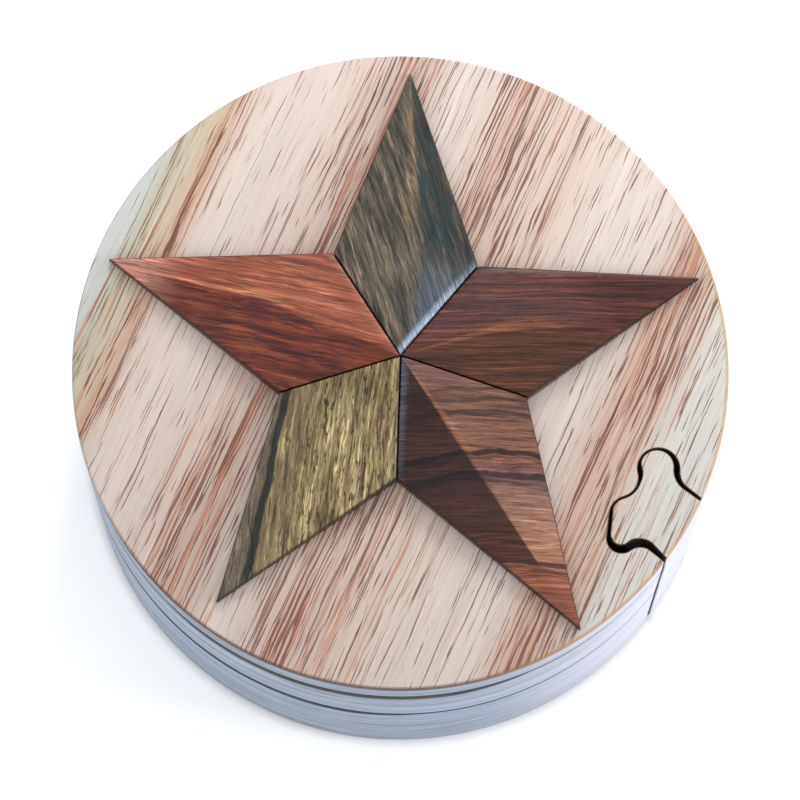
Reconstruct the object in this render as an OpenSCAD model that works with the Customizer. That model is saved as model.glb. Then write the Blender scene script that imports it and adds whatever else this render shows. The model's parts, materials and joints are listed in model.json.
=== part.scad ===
// Round wooden puzzle box with a five-piece star on its lid.
// The base, the tray and the lid turn about one hidden dowel at the rim. A key shaped like a
// jigsaw piece runs through all three layers at the other side of the rim and locks them.
// Millimetres, +Z up. The origin is the centre of the underside.

/* [Box] */
// Outside diameter of the box
box_d = 114; // [110:1:126]
// Height of the base layer with its floor board
base_h = 27; // [20:0.5:40]
// Height of the tray layer with its floor board
tray_h = 17; // [12:0.5:30]
// Thickness of the lid board
lid_t = 6; // [5:0.5:10]
// Thickness of the base's floor board
base_floor_t = 4; // [3:0.5:6]
// Thickness of the tray's floor board
tray_floor_t = 3; // [2:0.5:5]
// Open gap between one turning layer and the next
seam_gap = 0.3; // [0.1:0.05:0.6]
// Chamfer where two turning layers meet, and round the underside
seam_chamfer = 0.8; // [0.2:0.1:1.2]
// Chamfer round the top edge of the lid
lid_chamfer = 0.5; // [0.2:0.1:1]

/* [Compartments] */
// Thickness of the round wall
wall_t = 10; // [9:0.5:14]
// Radius of the rounded corners beside the two thick places in the wall
corner_r = 6; // [3:0.5:7]
// Thickness of the felt on the walls and the floors
felt_t = 0.8; // [0.4:0.1:1.5]
// Bare strip left above the felt on the walls
felt_drop = 0.7; // [0.3:0.1:2]

/* [Key] */
// Direction of the key seen from the centre, in degrees from +X
key_angle = -29; // [-60:1:60]
// Width of the saw cut round the key
kerf = 1; // [0.7:0.05:1.3]
// How far the key sits off the middle of its pocket, inwards and along the rim
key_shift = [-0.4, 0.2]; // [-0.4:0.1:0.2]
// Radius of the key's head, its upper lobe
key_head_r = 3.1; // [2.6:0.1:3.4]
// Radius of the key's heel, its lower lobe
key_heel_r = 3; // [2.6:0.1:3.4]
// Radius of the key's toe, the tighter corner below the heel
key_toe_r = 2; // [1.6:0.1:2.4]
// Radius of the hollow between the head and the heel
key_waist_r = 4.1; // [3.8:0.1:5]
// Radius of the hollow between the head and the rim
key_neck_r = 3.9; // [3:0.1:4.5]
// Radius of the hollow between the toe and the rim
key_sole_r = 3.3; // [3:0.1:4]
// Half the thickness of the solid wood kept round the key's pocket
key_boss_r = 15.5; // [15:0.5:18]

/* [Pivot] */
// Distance of the dowel's axis from the rim
pivot_in = 11; // [10.5:0.5:14]
// Diameter of the dowel
dowel_d = 8; // [6:0.5:9]
// Radial clearance of the dowel in the tray and the base
running_gap = 0.06; // [0.02:0.01:0.1]
// Depth of the dowel's glued end in the lid
dowel_glued = 4; // [3:0.5:4]
// Radius of the solid wood kept round the dowel
pivot_boss_r = 10.5; // [10:0.5:12]
// Diameter of the hole in the underside that takes the washer and the screw's head
well_d = 14; // [13.5:0.5:16]
// Depth of that hole
well_depth = 8; // [7.5:0.5:12]
// Diameter of the washer
washer_d = 12.4; // [10:0.2:13]
// Thickness of the washer
washer_t = 1.2; // [0.8:0.1:1.6]
// Diameter of the screw's shank
screw_d = 3.4; // [3:0.1:4]
// Length of the screw's shank in the dowel
screw_length = 15; // [10:1:20]
// Thickness of the wooden plug that closes the hole
plug_t = 3; // [2:0.2:3]

/* [Star] */
// Reach of the star's arms as a share of the box's radius
star_share = 0.95; // [0.7:0.01:0.95]
// Reach of the notches between the arms as a share of the box's radius
notch_share = 0.385; // [0.3:0.005:0.45]
// Height of the star's middle above the lid
star_peak = 7.5; // [5:0.5:12]
// Height of the star's edge at the notches
star_notch_h = 3; // [1.5:0.25:4]
// Height of the star's edge at the tips
star_tip_h = 1.4; // [0.8:0.1:3]
// Width of the glue line between two arms
star_joint = 0.12; // [0.05:0.01:0.3]

/* [Hidden] */

$fn = 96;
box_r = box_d / 2;
// Heights of the layers' faces
base_top = base_h - seam_gap;
tray_bottom = base_h;
tray_top = base_h + tray_h - seam_gap;
lid_bottom = base_h + tray_h;
lid_top = lid_bottom + lid_t;
// Hairline between the key's own layers, which fill the seams
key_line = 0.05;
// How far a cut runs past the face that it leaves
over = 1;

// Centres of the key's lobes: X points outwards from the rim, Y runs along it
key_head = [-9.5, 7.2];
key_heel = [-9.6, -2.6];
key_toe = [-8.8, -6.8];
// Directions in which the two cuts run out to the rim, in the same frame
head_cut_angle = -8;
toe_cut_angle = -9;
// Directions from the head and the toe to the hollows beside the rim
neck_angle = 25;
sole_angle = -22;
// Centre of the solid wood round the pocket, in the same frame
key_boss = [-6.5, 1];
// Straight steps in each long and each short arc of the compartments' outline
wall_steps = 36;
corner_steps = 14;

// The dowel stands opposite the key
pivot_angle = key_angle + 180;
pivot = (box_r - pivot_in) * [cos(pivot_angle), sin(pivot_angle)];
// Gap between the washer and the roof of its hole
washer_gap = 0.2;
washer_top = well_depth - washer_gap;
screw_head_h = 2.2;
screw_head_r = 3.4;
recess_w = 0.9;
recess_l = 3.8;
recess_depth = 1.2;

// The arms are cut by hand, so each reach and each direction differs a little
arm_extra = [-0.7, 0.3, 1.8, -1.7, 0.3];
arm_turn = [0, 0.7, -0.8, 1, -0.7];
notch_extra = [0, 0.6, -1.4, -0.5, 0.9];
notch_turn = [0, 4, 0, -1.7, -3.5];

pale = "#e0c8b4";
side_wood = "#c9c2bd";
key_wood = "#dcd8cb";
felt_blue = "#27324a";
dowel_wood = "#d9b98a";

function polar(r, a) = r * [cos(a), sin(a)];

// Centre of a circle of radius r that touches circles a and b from outside, left of a to b
function touching(a, ra, b, rb, r) =
    let (
        d = norm(b - a),
        u = (b - a) / d,
        along = ((ra + r) ^ 2 - (rb + r) ^ 2 + d ^ 2) / (2 * d),
        aside = sqrt((ra + r) ^ 2 - along ^ 2)
    )
    a + along * u + aside * [-u.y, u.x];

// Unit normal of the straight line that touches circles a and b on the right of a to b
function tangent_normal(a, ra, b, rb) =
    let (
        d = norm(b - a),
        u = (b - a) / d,
        c = (ra - rb) / d
    )
    c * u + sqrt(1 - c ^ 2) * [u.y, -u.x];

// ---- Outlines ----

// The line of the saw cut, moved outwards by grow: lobes joined by hollows that touch them
module key_outline(grow) {
    neck = key_head + polar(key_head_r + key_neck_r, neck_angle);
    waist = touching(key_heel, key_heel_r, key_head, key_head_r, key_waist_r);
    sole = key_toe + polar(key_toe_r + key_sole_r, sole_angle);
    neck_end = neck + polar(key_neck_r - grow, head_cut_angle - 90);
    sole_end = sole + polar(key_sole_r - grow, toe_cut_angle + 90);
    back = tangent_normal(key_heel, key_heel_r, key_toe, key_toe_r);
    reach = 20;
    difference() {
        union() {
            polygon([
                neck_end + polar(reach, head_cut_angle), neck_end, neck, key_head, waist,
                key_heel, key_toe, sole, sole_end, sole_end + polar(reach, toe_cut_angle)
            ]);
            polygon([
                key_heel, key_heel + (key_heel_r + grow) * back,
                key_toe + (key_toe_r + grow) * back, key_toe
            ]);
            translate(key_head)
                circle(r = key_head_r + grow);
            translate(key_heel)
                circle(r = key_heel_r + grow);
            translate(key_toe)
                circle(r = key_toe_r + grow);
        }
        translate(neck)
            circle(r = key_neck_r - grow);
        translate(waist)
            circle(r = key_waist_r - grow);
        translate(sole)
            circle(r = key_sole_r - grow);
    }
}

// The compartment's outline, moved inwards by inset: a circle that bends round two bosses
module hollow_outline(inset) {
    wall_r = box_r - wall_t;
    key_boss_at = polar(box_r + key_boss.x, key_angle) + polar(key_boss.y, key_angle + 90);
    key_side = key_angle + atan2(key_boss.y, box_r + key_boss.x);
    pivot_side = pivot_angle;
    key_turn = corner_turn(norm(key_boss_at), key_boss_r, wall_r);
    pivot_turn = corner_turn(norm(pivot), pivot_boss_r, wall_r);
    polygon(concat(
        boss_path(key_boss_at, key_boss_r, wall_r, inset),
        arc([0, 0], wall_r - inset, key_side + key_turn, pivot_side - pivot_turn, wall_steps),
        boss_path(pivot, pivot_boss_r, wall_r, inset),
        arc([0, 0], wall_r - inset, pivot_side + pivot_turn, key_side + 360 - key_turn, wall_steps)
    ));
}

function direction(p) = atan2(p.y, p.x);

// Points on an arc from angle a0 up to, but without, angle a1
function arc(centre, r, a0, a1, steps) =
    [for (i = [0:steps - 1]) centre + polar(r, a0 + (a1 - a0) * i / steps)];

// Angle at the middle of the box between a boss at distance d and the rounded corner beside it
function corner_turn(d, r, wall_r) =
    let (
        a = wall_r - corner_r,
        b = r + corner_r
    )
    acos((a ^ 2 + d ^ 2 - b ^ 2) / (2 * a * d));

// The outline from the round wall through a rounded corner, round a boss and back to the wall
function boss_path(centre, r, wall_r, inset) =
    let (
        side = direction(centre),
        turn = corner_turn(norm(centre), r, wall_r),
        a = wall_r - corner_r,
        first = polar(a, side - turn),
        last = polar(a, side + turn),
        swing = atan2(a * sin(turn), norm(centre) - a * cos(turn))
    )
    concat(
        arc(first, corner_r - inset, side - turn, side + swing, corner_steps),
        arc(centre, r + inset, side + swing + 180, side - swing + 180, corner_steps),
        arc(last, corner_r - inset, side - swing, side + turn, corner_steps)
    );

// ---- Solids shared by the layers ----

// A disc from z0 to z1 with chamfers low and high on its rim
module disc(z0, z1, low, high) {
    rotate_extrude($fn = 180)
        polygon(concat(
            [[0, z0]],
            low > 0 ? [[box_r - low, z0], [box_r, z0 + low]] : [[box_r, z0]],
            high > 0 ? [[box_r, z1 - high], [box_r - high, z1]] : [[box_r, z1]],
            [[0, z1]]
        ));
}

// The saw cut's outline as a prism that runs past both faces of a layer
module key_prism(z0, z1, grow, shift) {
    rotate(key_angle)
        translate([box_r + shift.x, shift.y, z0 - over])
            linear_extrude(z1 - z0 + 2 * over)
                key_outline(grow);
}

module key_pocket(z0, z1) {
    key_prism(z0, z1, kerf / 2, [0, 0]);
}

// One layer of the key
module key_layer(z0, z1, low, high) {
    intersection() {
        disc(z0, z1, low, high);
        key_prism(z0, z1, -kerf / 2, key_shift);
    }
}

module pivot_bore(r, z0, z1) {
    translate([pivot.x, pivot.y, z0])
        cylinder(h = z1 - z0, r = r);
}

module hollow(z0, z1, inset) {
    translate([0, 0, z0])
        linear_extrude(z1 - z0)
            hollow_outline(inset);
}

// Felt on the wall of a compartment, from its floor to just under the wall's top
module wall_lining(floor_z, top_z) {
    translate([0, 0, floor_z])
        linear_extrude(top_z - felt_drop - floor_z)
            difference() {
                hollow_outline(0);
                hollow_outline(felt_t);
            }
}

// ---- Base ----

module base_floor() {
    color(side_wood)
        difference() {
            disc(0, base_floor_t, seam_chamfer, 0);
            key_pocket(0, base_floor_t);
            pivot_bore(well_d / 2, -over, base_floor_t + over);
        }
}

module base_ring() {
    color(side_wood)
        difference() {
            disc(base_floor_t, base_top, 0, seam_chamfer);
            hollow(base_floor_t - over, base_top + over, 0);
            key_pocket(base_floor_t, base_top);
            pivot_bore(well_d / 2, base_floor_t - over, well_depth);
            pivot_bore(dowel_d / 2 + running_gap, well_depth - over, base_top + over);
        }
}

module base_floor_lining() {
    color(felt_blue)
        hollow(base_floor_t, base_floor_t + felt_t, felt_t);
}

module base_wall_lining() {
    color(felt_blue)
        wall_lining(base_floor_t, base_top);
}

// The plug sits a hair above the underside, so the box never stands on it
module pivot_plug() {
    plug_lift = 0.2;
    color(dowel_wood)
        pivot_bore(well_d / 2, plug_lift, plug_lift + plug_t);
}

// ---- Tray ----

module tray_floor() {
    color(side_wood)
        difference() {
            disc(tray_bottom, tray_bottom + tray_floor_t, seam_chamfer, 0);
            key_pocket(tray_bottom, tray_bottom + tray_floor_t);
            pivot_bore(
                dowel_d / 2 + running_gap, tray_bottom - over, tray_bottom + tray_floor_t + over
            );
        }
}

module tray_ring() {
    ring_bottom = tray_bottom + tray_floor_t;
    color(side_wood)
        difference() {
            disc(ring_bottom, tray_top, 0, seam_chamfer);
            hollow(ring_bottom - over, tray_top + over, 0);
            key_pocket(ring_bottom, tray_top);
            pivot_bore(dowel_d / 2 + running_gap, ring_bottom - over, tray_top + over);
        }
}

module tray_floor_lining() {
    color(felt_blue)
        hollow(tray_bottom + tray_floor_t, tray_bottom + tray_floor_t + felt_t, felt_t);
}

module tray_wall_lining() {
    color(felt_blue)
        wall_lining(tray_bottom + tray_floor_t, tray_top);
}

// ---- Lid and star ----

module lid_board() {
    color(pale)
        difference() {
            disc(lid_bottom, lid_top, seam_chamfer, lid_chamfer);
            key_pocket(lid_bottom, lid_top);
            pivot_bore(dowel_d / 2, lid_bottom - over, lid_bottom + dowel_glued);
        }
}

// Tip of arm k and the notch that follows it clockwise, counted from the arm at +Y
function tip(k) = polar(star_share * box_r + arm_extra[k], 90 - 72 * k + arm_turn[k]);
function notch(k) = polar(notch_share * box_r + notch_extra[k], 54 - 72 * k + notch_turn[k]);

// One arm: a kite with a ridge from the star's middle to the tip, and the glue line taken off
module star_arm(k) {
    back_off = polar(star_joint, 90 - 72 * k);
    outline = [back_off, notch(k) + back_off, tip(k), notch((k + 4) % 5) + back_off];
    heights = [star_peak, star_notch_h, star_tip_h, star_notch_h];
    polyhedron(
        points = concat(
            [for (p = outline) [p.x, p.y, lid_top]],
            [for (i = [0:3]) [outline[i].x, outline[i].y, lid_top + heights[i]]]
        ),
        faces = [
            [0, 3, 2, 1], [0, 1, 5, 4], [1, 2, 6, 5], [2, 3, 7, 6], [3, 0, 4, 7],
            [4, 5, 6], [4, 6, 7]
        ]
    );
}

module star_arm_top() {
    color("#5c4c3c")
        star_arm(0);
}

module star_arm_right() {
    color("#6c3a30")
        star_arm(1);
}

module star_arm_lower_right() {
    color("#6e4238")
        star_arm(2);
}

module star_arm_lower_left() {
    color("#7c7040")
        star_arm(3);
}

module star_arm_left() {
    color("#a8502f")
        star_arm(4);
}

// ---- Pivot ----

module pivot_dowel() {
    top = lid_bottom + dowel_glued;
    color(dowel_wood)
        difference() {
            pivot_bore(dowel_d / 2, washer_top, top);
            pivot_bore(screw_d / 2, washer_top - over, washer_top + screw_length);
        }
}

module pivot_washer() {
    hole_gap = 0.2;
    color("silver")
        difference() {
            pivot_bore(washer_d / 2, washer_top - washer_t, washer_top);
            pivot_bore(screw_d / 2 + hole_gap, washer_top - washer_t - over, washer_top + over);
        }
}

// A round-head screw, driven upwards, with a cross recess in its head
module pivot_screw() {
    seat = washer_top - washer_t;
    color("silver")
        difference() {
            translate([pivot.x, pivot.y, 0])
                rotate_extrude()
                    polygon([
                        [0, seat - screw_head_h],
                        [screw_head_r - 1.2, seat - screw_head_h],
                        [screw_head_r, seat - screw_head_h + 1],
                        [screw_head_r, seat],
                        [screw_d / 2, seat],
                        [screw_d / 2, washer_top + screw_length - 2],
                        [0, washer_top + screw_length]
                    ]);
            for (turn = [0, 90])
                translate([pivot.x, pivot.y, seat - screw_head_h])
                    rotate(turn)
                        cube([recess_l, recess_w, 2 * recess_depth], center = true);
        }
}

// ---- Key: one glued block, held as one layer for each layer of the box ----

module key_base_floor_layer() {
    color(key_wood)
        key_layer(0, base_floor_t, seam_chamfer, 0);
}

module key_base_layer() {
    color(key_wood)
        key_layer(base_floor_t, tray_bottom - key_line, 0, 0);
}

module key_tray_floor_layer() {
    color(key_wood)
        key_layer(tray_bottom, tray_bottom + tray_floor_t, 0, 0);
}

module key_tray_layer() {
    color(key_wood)
        key_layer(tray_bottom + tray_floor_t, lid_bottom - key_line, 0, 0);
}

module key_lid_layer() {
    color(key_wood)
        key_layer(lid_bottom, lid_top, 0, lid_chamfer);
}

base_floor();
base_ring();
base_floor_lining();
base_wall_lining();
pivot_plug();
tray_floor();
tray_ring();
tray_floor_lining();
tray_wall_lining();
lid_board();
star_arm_top();
star_arm_right();
star_arm_lower_right();
star_arm_lower_left();
star_arm_left();
pivot_dowel();
pivot_washer();
pivot_screw();
key_base_floor_layer();
key_base_layer();
key_tray_floor_layer();
key_tray_layer();
key_lid_layer();
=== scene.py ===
import json
import math

import bmesh
import bpy
import numpy as np
from mathutils import Matrix, Vector, noise
from mathutils.geometry import delaunay_2d_cdt

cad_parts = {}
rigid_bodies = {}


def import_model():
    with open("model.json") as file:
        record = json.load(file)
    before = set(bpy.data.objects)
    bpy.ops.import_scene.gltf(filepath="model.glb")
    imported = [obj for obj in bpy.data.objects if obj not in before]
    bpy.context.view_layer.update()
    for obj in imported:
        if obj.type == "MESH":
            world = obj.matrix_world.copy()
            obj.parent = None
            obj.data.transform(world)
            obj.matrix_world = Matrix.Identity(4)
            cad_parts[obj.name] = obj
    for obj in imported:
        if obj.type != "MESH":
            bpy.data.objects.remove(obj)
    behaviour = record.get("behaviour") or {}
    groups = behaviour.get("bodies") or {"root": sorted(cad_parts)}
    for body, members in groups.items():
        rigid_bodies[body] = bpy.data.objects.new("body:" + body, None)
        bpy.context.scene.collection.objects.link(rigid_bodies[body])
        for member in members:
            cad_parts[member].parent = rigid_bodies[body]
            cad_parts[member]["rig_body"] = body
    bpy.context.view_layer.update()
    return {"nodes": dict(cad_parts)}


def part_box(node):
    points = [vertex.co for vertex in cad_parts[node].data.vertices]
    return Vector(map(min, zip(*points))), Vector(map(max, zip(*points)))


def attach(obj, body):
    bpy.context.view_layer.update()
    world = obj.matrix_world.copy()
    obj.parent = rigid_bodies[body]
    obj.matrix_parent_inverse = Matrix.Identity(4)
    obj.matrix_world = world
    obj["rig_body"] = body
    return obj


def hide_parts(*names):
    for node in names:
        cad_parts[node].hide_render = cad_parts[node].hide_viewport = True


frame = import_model()

MM = 0.001
LID_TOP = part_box("lid_board")[1].z
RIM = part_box("lid_board")[1].x
PIVOT = sum(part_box("pivot_dowel"), Vector()) / 2

# How far edges are sanded round, in metres
FOOT_SOFT = 0.8 * MM
LID_UNDER_SOFT = 0.5 * MM
SEAM_SOFT = 1.2 * MM
LOWER_SEAM_SOFT = 0.6 * MM
LID_SOFT = 0.5 * MM
CUT_SOFT = 0.1 * MM
HOLLOW_SOFT = 0.5 * MM
GLUED_SOFT = 0.05 * MM
WELL_SOFT = 0.3 * MM
# A level strip of this width lies inside each softened edge, to keep the level face's shading flat
FLAT = 0.12 * MM
# The turns of a softened edge, from the wall to the level face, and its mark there from 0 to 1
ROUND = np.radians([0, 22.5, 45, 67.5, 90])
MARK = ROUND / ROUND[-1]
# Seam edges sanded deeper at the front, in millimetres: middle and half width in x, and depth
WORN_EDGES = {"tray_ring": (-8, 18, 2.6), "base_ring": (-30, 20, 1.7)}
WORN_FADE_X = 22
WORN_FADE_Y = 20
# How far the key is let out into the saw cut, and how much further at the rim, in millimetres
LET_OUT = 0.35
LET_OUT_AT_RIM = 0.2
# Steps between points along outlines
WOOD_STEP = 0.5 * MM
FELT_STEP = 0.7 * MM
FELT_DEPTH = 0.12 * MM
# The lid's board is cut with its grain in this direction, in degrees from +X
LID_GRAIN = 68.0


# ---- Outlines taken from the frame ----

def level_cut(node, height):
    """Closed rows of plan points where a level plane cuts a CAD node, the longest row first."""
    mesh = bmesh.new()
    mesh.from_mesh(frame["nodes"][node].data)
    bmesh.ops.remove_doubles(mesh, verts=mesh.verts, dist=0.002 * MM)
    everything = [*mesh.verts, *mesh.edges, *mesh.faces]
    cut = bmesh.ops.bisect_plane(
        mesh, geom=everything, dist=1e-8, plane_co=(0, 0, height), plane_no=(0, 0, 1)
    )["geom_cut"]
    mesh.verts.index_update()
    beside = {}
    place = {}
    for edge in cut:
        if isinstance(edge, bmesh.types.BMEdge):
            a, b = (v.index for v in edge.verts)
            beside.setdefault(a, []).append(b)
            beside.setdefault(b, []).append(a)
            place[a] = edge.verts[0].co.xy[:]
            place[b] = edge.verts[1].co.xy[:]
    mesh.free()
    rows = []
    left = set(beside)
    while left:
        here = min(left)
        row = []
        while here is not None:
            left.discard(here)
            row.append(place[here])
            here = next((n for n in beside[here] if n in left), None)
        rows.append(np.array(row))
    rows = [without_straight_points(row) for row in rows]
    rows.sort(key=lambda row: -abs(area(row)))
    for i, row in enumerate(rows):
        if (area(row) > 0) != (i == 0):
            rows[i] = row[::-1]
    return rows


def area(row):
    """The area inside a closed row, negative if the row runs clockwise."""
    after = np.roll(row, -1, 0)
    return 0.5 * float(np.sum(row[:, 0] * after[:, 1] - row[:, 1] * after[:, 0]))


def turning(row):
    """How far a closed row turns at each point, in radians, left being positive."""
    before = row - np.roll(row, 1, 0)
    after = np.roll(row, -1, 0) - row
    cross = before[:, 0] * after[:, 1] - before[:, 1] * after[:, 0]
    return np.arctan2(cross, np.sum(before * after, 1))


def without_straight_points(row):
    """The row without doubled points and points where it doesn't turn."""
    gap = np.linalg.norm(row - np.roll(row, 1, 0), axis=1)
    row = row[gap > 1e-6]
    return row[np.abs(turning(row)) > math.radians(0.3)]


def curve_through(row, step, closed):
    """A smooth curve through a row of points, with new points about a step apart."""
    n = len(row)
    count = n if closed else n - 1
    chord = np.roll(row, -1, 0) - row
    length = np.linalg.norm(chord, axis=1)
    way = chord / np.maximum(length, 1e-12)[:, None]
    before_l = np.roll(length, 1)
    before_w = np.roll(way, 1, 0)
    tangent = before_w * length[:, None] + way * before_l[:, None]
    straight_after = length > 2.5 * before_l
    straight_before = before_l > 2.5 * length
    tangent[straight_after] = way[straight_after]
    tangent[straight_before] = before_w[straight_before]
    if not closed:
        tangent[0] = way[0]
        tangent[-1] = way[-2]
    tangent /= np.linalg.norm(tangent, axis=1)[:, None]
    points = []
    for i in range(count):
        a = row[i]
        b = row[(i + 1) % n]
        ta = tangent[i] * length[i]
        tb = tangent[(i + 1) % n] * length[i]
        parts = max(1, math.ceil(length[i] / step))
        for t in np.arange(parts) / parts:
            points.append(
                (2 * t**3 - 3 * t**2 + 1) * a + (t**3 - 2 * t**2 + t) * ta
                + (3 * t**2 - 2 * t**3) * b + (t**3 - t**2) * tb
            )
    if not closed:
        points.append(row[-1])
    return np.array(points)


def trimmed(row, reach):
    """An open row with a length taken off each end."""
    along = np.concatenate([[0], np.cumsum(np.linalg.norm(np.diff(row, axis=0), axis=1))])
    reach = min(reach, 0.3 * along[-1])
    keep = (along > reach) & (along < along[-1] - reach)
    ends = [
        [np.interp(at, along, row[:, i]) for i in (0, 1)] for at in (reach, along[-1] - reach)
    ]
    return np.vstack([ends[:1], row[keep], ends[1:]])


def eased(row, step, reach, corner=math.radians(20)):
    """A closed row made smooth, with each corner rounded over a reach on both sides."""
    corners = np.nonzero(np.abs(turning(row)) > corner)[0]
    if not len(corners):
        return curve_through(row, step, True)
    points = []
    for i, first in enumerate(corners):
        last = corners[(i + 1) % len(corners)]
        span = (last - first) % len(row) or len(row)
        stretch = row[[(first + k) % len(row) for k in range(span + 1)]]
        points.append(trimmed(curve_through(stretch, step, False), reach))
    out = []
    for i, stretch in enumerate(points):
        out.extend(stretch)
        a = stretch[-1]
        b = points[(i + 1) % len(points)][0]
        middle = row[corners[(i + 1) % len(corners)]]
        for t in (0.2, 0.4, 0.6, 0.8):
            out.append((1 - t) ** 2 * a + 2 * t * (1 - t) * middle + t**2 * b)
    return np.array(out)


class Outline:
    """A closed row of points with material on its left, and how its edges are softened."""

    def __init__(self, row, low_soft, high_soft, is_cut=None, floor=None, roof=None):
        self.points = row
        ahead = np.roll(row, -1, 0) - np.roll(row, 1, 0)
        ahead /= np.linalg.norm(ahead, axis=1)[:, None]
        self.normals = np.stack([ahead[:, 1], -ahead[:, 0]], 1)
        self.low = self.fitted(low_soft)
        self.high = self.fitted(high_soft)
        self.is_cut = np.zeros(len(row)) if is_cut is None else is_cut
        self.floor = floor
        self.roof = roof

    def fitted(self, soft):
        """The softening, made smaller at tight corners and changing smoothly along the row."""
        row = self.points
        step = np.linalg.norm(np.roll(row, -1, 0) - row, axis=1)
        turn = turning(row)
        straight = 1e-4
        room = np.where(turn > straight, 0.8 * step / np.maximum(turn, straight), 1)
        soft = np.minimum(np.broadcast_to(soft, (len(row),)), room)
        for _ in range(2):
            for order in (range(len(row)), range(len(row) - 1, -1, -1)):
                last = soft[order[-1]]
                for i in order:
                    last = min(soft[i], last + 0.35 * step[i])
                    soft[i] = last
        return soft

    def ring(self, inset, height):
        """The points of the row moved into the material and set at a height."""
        plan = self.points - self.normals * np.broadcast_to(inset, (len(self.points),))[:, None]
        z = np.broadcast_to(height, (len(plan),))
        return np.column_stack([plan, z])

    def soft_ring(self, soft, turn, height, up, width=0):
        """A ring of a softened edge, up or down from the height of the level face beside it."""
        inset = width + soft * (1 - np.cos(turn))
        return self.ring(inset, height + up * soft * (1 - np.sin(turn)))


def inside(points, rows):
    """Which points lie within closed rows, holes left out."""
    found = np.zeros(len(points), bool)
    batch = 2000
    for row in rows:
        a = row
        b = np.roll(row, -1, 0)
        for start in range(0, len(points), batch):
            x, y = points[start : start + batch].T[:, :, None]
            spans = (a[:, 1] > y) != (b[:, 1] > y)
            rise = np.where(b[:, 1] == a[:, 1], 1, b[:, 1] - a[:, 1])
            over = x < (b[:, 0] - a[:, 0]) * (y - a[:, 1]) / rise + a[:, 0]
            found[start : start + batch] ^= (spans & over).sum(1) % 2 == 1
    return found


class Solid:
    """Vertices, faces and per-vertex marks of a mesh that is being built."""

    def __init__(self):
        self.points = []
        self.faces = []
        self.marks = {"cut": [], "edge": []}

    def add(self, ring, cut=0.0, edge=0.0):
        """The numbers of a ring's points, which are added with their marks."""
        start = len(self.points)
        self.points.extend(map(tuple, ring))
        self.marks["cut"].extend(np.broadcast_to(cut, (len(ring),)))
        self.marks["edge"].extend(np.broadcast_to(edge, (len(ring),)))
        return range(start, start + len(ring))

    def band(self, low, high):
        """Faces between two rings, the higher one second, with material on the left."""
        n = len(low)
        for i in range(n):
            j = (i + 1) % n
            self.faces.append((low[i], low[j], high[j], high[i]))

    def cap(self, rings, upwards, extra=None):
        """A flat face over the material between rings, with extra points in it if any.
        Triangles along a straight edge that lie outside it by a rounding error are left out."""
        index = [i for ring in rings for i in ring]
        rows = [np.array([self.points[i][:2] for i in ring]) for ring in rings]
        plan = [self.points[i][:2] for i in index]
        edges = []
        for ring in rings:
            base = len(edges)
            edges += [(base + i, base + (i + 1) % len(ring)) for i in range(len(ring))]
        if extra is not None and len(extra):
            z = self.points[index[0]][2]
            index += list(self.add(np.column_stack([extra, np.full(len(extra), z)])))
            plan += [tuple(p) for p in extra]
        scaled = [Vector(p) / MM for p in plan]
        found = delaunay_2d_cdt(scaled, edges, [], 0, 1e-6)
        chosen = [[found[3][v][0] for v in face] for face in found[2]]
        faces = [[index[v] for v in face] for face in chosen]
        corners = np.array([[self.points[i][:2] for i in face] for face in faces])
        sides = corners - np.roll(corners, 1, 1)
        longest = np.linalg.norm(sides, axis=2).max(1)
        doubled = np.abs(sides[:, 0, 0] * sides[:, 1, 1] - sides[:, 0, 1] * sides[:, 1, 0])
        is_real = (doubled > 0.001 * MM * longest) | (np.max(chosen, 1) >= len(edges))
        for face, keep in zip(faces, inside(corners.mean(1), rows) & is_real):
            if keep:
                self.faces.append(tuple(face if upwards else face[::-1]))

    def piece(self, name, material):
        """An object of this mesh with its marks as attributes."""
        mesh = bpy.data.meshes.new(name)
        mesh.from_pydata(self.points, [], self.faces)
        for mark, values in self.marks.items():
            layer = mesh.attributes.new(mark, "FLOAT", "POINT")
            layer.data.foreach_set("value", np.array(values, np.float32))
        mesh.validate()
        mesh.shade_smooth()
        mesh.materials.append(material)
        piece = bpy.data.objects.new(name, mesh)
        bpy.context.scene.collection.objects.link(piece)
        return piece


def board(name, outlines, low, high, material, levels=0, fill=0.0):
    """A solid with level faces, upright walls and softened edges. An outline's floor is the
    height and extra width of a well below it, and its roof is where a blind hole ends."""
    solid = Solid()
    under = []
    over = []
    for line in outlines:
        depth, width = line.floor or (low, 0)
        rings = [solid.add(line.ring(line.low + width + FLAT, low))]
        for turn, mark in zip(ROUND[::-1], MARK[::-1]):
            ring = line.soft_ring(line.low, turn, low, 1, width)
            rings.append(solid.add(ring, line.is_cut, 0 if line.floor else mark))
        if line.floor:
            rings.append(solid.add(line.ring(width, depth)))
            rings.append(solid.add(line.ring(0, depth)))
        if line.roof:
            rings.append(solid.add(line.ring(0, line.roof)))
            solid.faces.append(tuple(rings[-1]))
        else:
            for z in np.linspace(low, high, levels + 2)[1:-1]:
                if z > depth:
                    rings.append(solid.add(line.ring(0, z), line.is_cut))
            for turn, mark in zip(ROUND, MARK):
                ring = line.soft_ring(line.high, turn, high, -1)
                rings.append(solid.add(ring, line.is_cut, mark))
            rings.append(solid.add(line.ring(line.high + FLAT, high)))
            over.append(rings[-1])
        under.append(rings[0])
        for first, second in zip(rings, rings[1:]):
            solid.band(first, second)
    for rings, upwards in ((under, False), (over, True)):
        solid.cap(rings, upwards, grid_within(solid, rings, fill) if fill else None)
    return solid.piece(name, material)


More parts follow.
